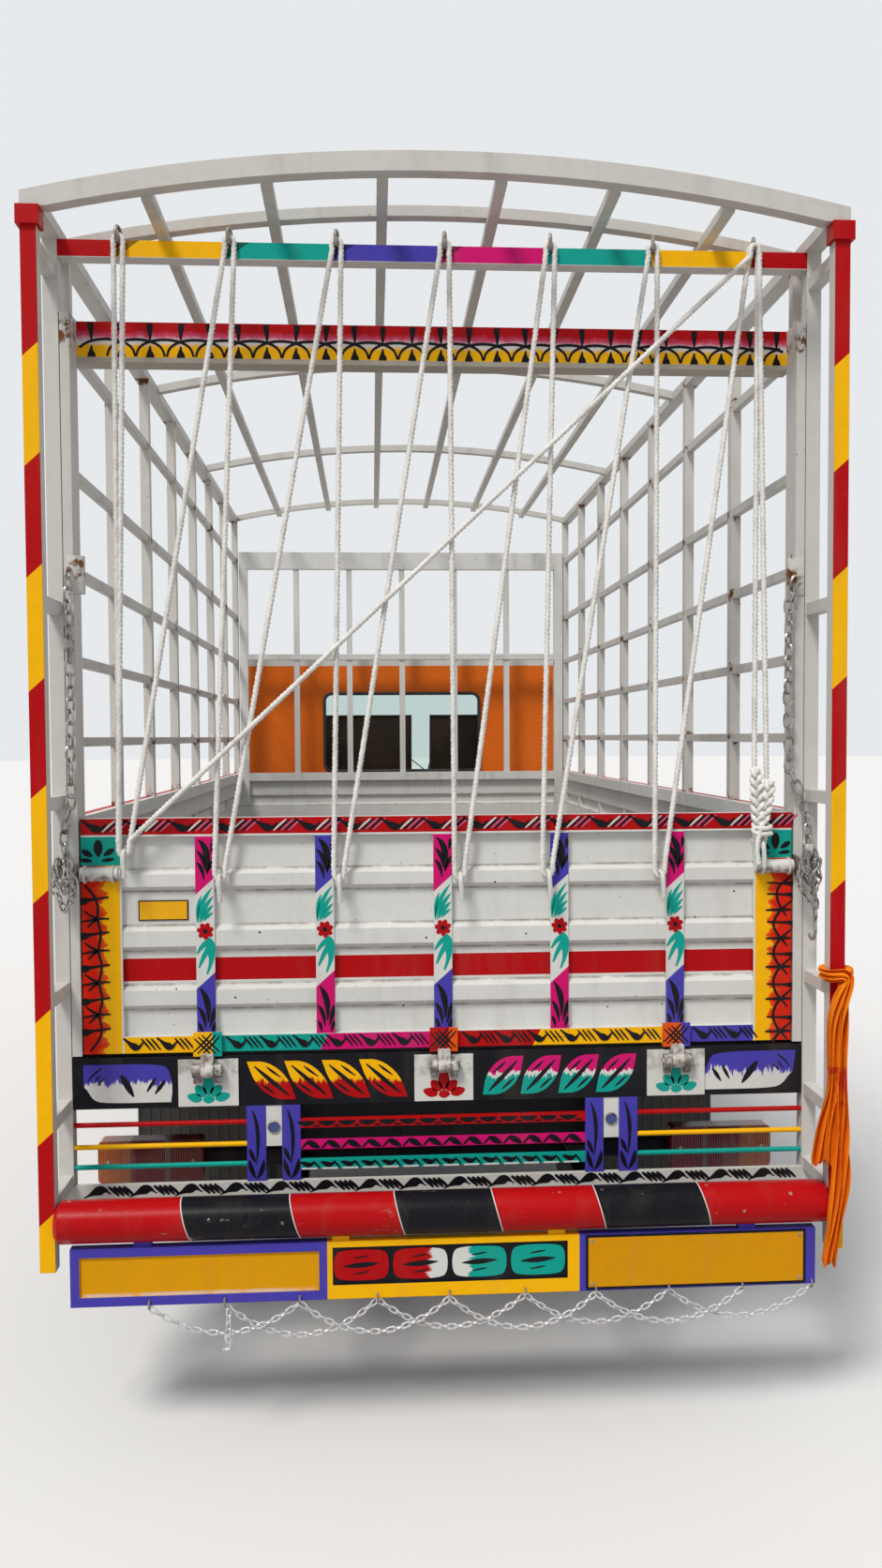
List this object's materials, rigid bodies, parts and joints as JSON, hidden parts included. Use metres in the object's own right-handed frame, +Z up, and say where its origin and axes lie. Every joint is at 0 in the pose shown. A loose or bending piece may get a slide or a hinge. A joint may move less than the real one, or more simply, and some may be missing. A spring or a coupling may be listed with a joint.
{
  "type": "decorated goods truck",
  "caption": "Light goods truck with hand-painted steel load body, tube cage sides, drop tailgate, decorated rear frame, flat-faced cab and twin rear wheels.",
  "frame": {"origin": "on the ground below the middle of the truck's length and width", "axes": "+Y forward along the truck, +X to the truck's right, +Z up"},
  "size_m": [2.08, 5.5999, 2.9525],
  "materials": {
    "chassis_paint": "satin dusty black paint",
    "engine_metal": "bare casting",
    "spring_steel": "dull rolled steel",
    "tyre": "dusty tread",
    "rim_paint": "silver grey paint",
    "tank_metal": "dull metal",
    "rubber": "matte",
    "floor_steel": "scuffed sheet",
    "body_white": "gloss white with scuffs",
    "cage_white": "white with rust at the welds",
    "lintel_paint": "hand painted bands",
    "sill_black": "black with painted motifs",
    "hinge_white": "white with painted flowers",
    "tailgate_paint": "white with hand painted bands",
    "ladder_paint": "red and yellow bands over white",
    "crossbar_paint": "seven painted bands",
    "bumper_paint": "red and black bands",
    "panel_paint": "violet and yellow",
    "strap_violet": "violet with black leaves",
    "guard_paint": "painted bands",
    "lamp_red": "clear red and amber",
    "lamp_clear": "clear",
    "cab_paint": "gloss paint",
    "glass": "slightly tinted",
    "grille_plastic": "textured",
    "front_bumper_paint": "white with bands",
    "visor_paint": "hand painted",
    "black_plastic": "textured",
    "seat_vinyl": "vinyl with seams",
    "scarf_cloth": "thin orange cloth"
  },
  "bodies": {
    "root": {"arch_hoop": "cage_white", "bumper_tube": "bumper_paint", "cab_glass": "glass", "cab_shell": "cab_paint", "chassis_frame": "chassis_paint", "crossbar": "crossbar_paint", "dashboard": "black_plastic", "door_hinges": "engine_metal", "driveshaft": "chassis_paint", "engine_block": "engine_metal", "exhaust": "tank_metal", "front_axle": "chassis_paint", "front_bulkhead": "body_white", "front_bumper": "front_bumper_paint", "fuel_tank": "tank_metal", "grille": "grille_plastic", "guard_bars": "guard_paint", "guard_straps": "strap_violet", "headlamps": "lamp_clear", "hinge_plates": "hinge_white", "ladder_frames": "ladder_paint", "leaf_springs": "spring_steel", "lintel": "lintel_paint", "load_floor": "floor_steel", "mirrors": "black_plastic", "mud_flaps": "rubber", "plate_panel": "panel_paint", "rear_axle": "chassis_paint", "rear_pillars": "cage_white", "rear_sill": "sill_black", "roof_frame": "cage_white", "scarf": "scarf_cloth", "seats": "seat_vinyl", "side_grille_left": "cage_white", "side_grille_right": "cage_white", "side_wall_left": "body_white", "side_wall_right": "body_white", "steering_column": "black_plastic", "sun_visor": "visor_paint", "tail_lamps": "lamp_red"},
    "tailgate": {"tailgate": "tailgate_paint"},
    "door_left": {"door_left": "cab_paint", "door_glass_left": "glass"},
    "door_right": {"door_right": "cab_paint", "door_glass_right": "glass"},
    "knuckle_left": {"knuckle_left": "engine_metal"},
    "knuckle_right": {"knuckle_right": "engine_metal"},
    "track_rod": {"track_rod": "engine_metal"},
    "steering_wheel": {"steering_wheel": "black_plastic"},
    "wheel_front_left": {"tyre_front_left": "tyre", "rim_front_left": "rim_paint"},
    "wheel_front_right": {"tyre_front_right": "tyre", "rim_front_right": "rim_paint"},
    "wheels_rear_left": {"tyres_rear_left": "tyre", "rims_rear_left": "rim_paint"},
    "wheels_rear_right": {"tyres_rear_right": "tyre", "rims_rear_right": "rim_paint"}
  },
  "joints": [
    {"name": "tailgate_drop", "type": "hinge", "parent": "root", "child": "tailgate", "pos_m": [0, -2.616, 0.85], "axis": [1, 0, 0], "range_deg": [0, 90]},
    {"name": "door_right_swing", "type": "hinge", "parent": "root", "child": "door_right", "pos_m": [0.899, 2.4255, 1.1], "axis": [0, 0, 1], "range_deg": [0, 68]},
    {"name": "door_left_swing", "type": "hinge", "parent": "root", "child": "door_left", "pos_m": [-0.899, 2.4255, 1.1], "axis": [0, 0, -1], "range_deg": [0, 68]},
    {"name": "steer_left", "type": "hinge", "parent": "root", "child": "knuckle_left", "pos_m": [-0.64, 1.75, 0.375], "axis": [0, 0, 1], "range_deg": [-35, 35]},
    {"name": "steer_right", "type": "hinge", "parent": "root", "child": "knuckle_right", "pos_m": [0.64, 1.75, 0.375], "axis": [0, 0, 1], "range_deg": [-35, 35]},
    {"name": "track_rod_slide", "type": "slide", "parent": "root", "child": "track_rod", "axis": [1, 0, 0], "range_m": [-0.0862, 0.0862]},
    {"name": "steering_wheel_turn", "type": "hinge", "parent": "root", "child": "steering_wheel", "pos_m": [0.41, 2.19, 1.425], "axis": [0, -0.6157, 0.788], "range_deg": [-351, 351]},
    {"name": "wheel_front_left_roll", "type": "hinge", "parent": "knuckle_left", "child": "wheel_front_left", "pos_m": [-0.765, 1.75, 0.375], "axis": [1, 0, 0], "continuous": true},
    {"name": "wheel_front_right_roll", "type": "hinge", "parent": "knuckle_right", "child": "wheel_front_right", "pos_m": [0.765, 1.75, 0.375], "axis": [1, 0, 0], "continuous": true},
    {"name": "wheels_rear_left_roll", "type": "hinge", "parent": "root", "child": "wheels_rear_left", "pos_m": [-0.7, -1.3, 0.375], "axis": [1, 0, 0], "continuous": true},
    {"name": "wheels_rear_right_roll", "type": "hinge", "parent": "root", "child": "wheels_rear_right", "pos_m": [0.7, -1.3, 0.375], "axis": [1, 0, 0], "continuous": true}
  ],
  "couplings": [
    {"joint": "steer_right", "follows": "steer_left", "ratio": 1},
    {"joint": "track_rod_slide", "follows": "steer_left", "m_per_rad": 0.14084},
    {"joint": "steering_wheel_turn", "follows": "steer_left", "ratio": 10}
  ]
}
